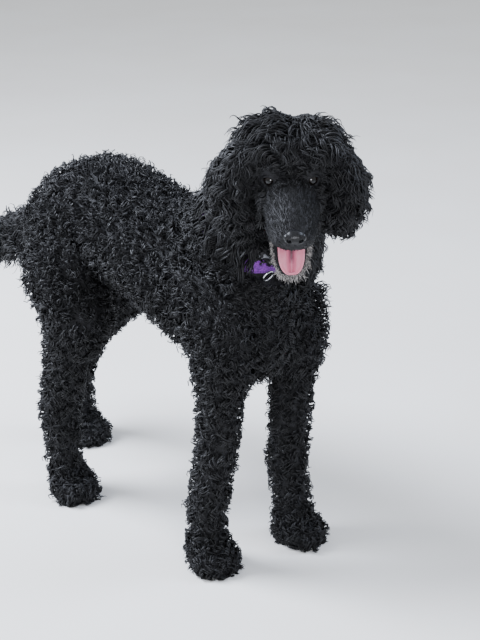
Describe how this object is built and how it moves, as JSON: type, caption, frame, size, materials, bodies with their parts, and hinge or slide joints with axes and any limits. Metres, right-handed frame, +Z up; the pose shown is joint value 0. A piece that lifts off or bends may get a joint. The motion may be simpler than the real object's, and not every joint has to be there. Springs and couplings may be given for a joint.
{
  "type": "standard poodle",
  "caption": "Life-size still model of a black standard poodle that stands and pants, with a purple collar and a plain grey band.",
  "frame": {"origin": "centre of the underside of the bounding box, on the floor between the paws", "axes": "+Z up, -Y the way the body faces, +X the dog's left"},
  "size_m": [0.2908, 0.875, 0.7418],
  "materials": {
    "black_coat": "glossy black tight curls with a cool sheen",
    "grey_beard": "short grey and white hair over dark skin",
    "nose_leather": "moist pebbled black skin",
    "eye_surface": "wet dark brown eye under a clear surface",
    "tongue_skin": "moist pink skin with fine bumps",
    "purple_webbing": "woven purple nylon webbing",
    "grey_band": "plain matt grey moulded band",
    "ring_steel": "bright plated steel wire"
  },
  "bodies": {
    "root": {"collar": "purple_webbing", "ear_left": "black_coat", "ear_right": "black_coat", "eye_left": "eye_surface", "eye_right": "eye_surface", "foreleg_left": "black_coat", "foreleg_right": "black_coat", "forepaw_left": "black_coat", "forepaw_right": "black_coat", "head": "black_coat", "hindpaw_left": "black_coat", "hindpaw_right": "black_coat", "leash_ring": "ring_steel", "lower_jaw": "grey_beard", "neck": "black_coat", "nose": "nose_leather", "second_band": "grey_band", "shank_left": "black_coat", "shank_right": "black_coat", "tail": "black_coat", "thigh_left": "black_coat", "thigh_right": "black_coat", "tongue": "tongue_skin", "torso": "black_coat"}
  },
  "joints": []
}
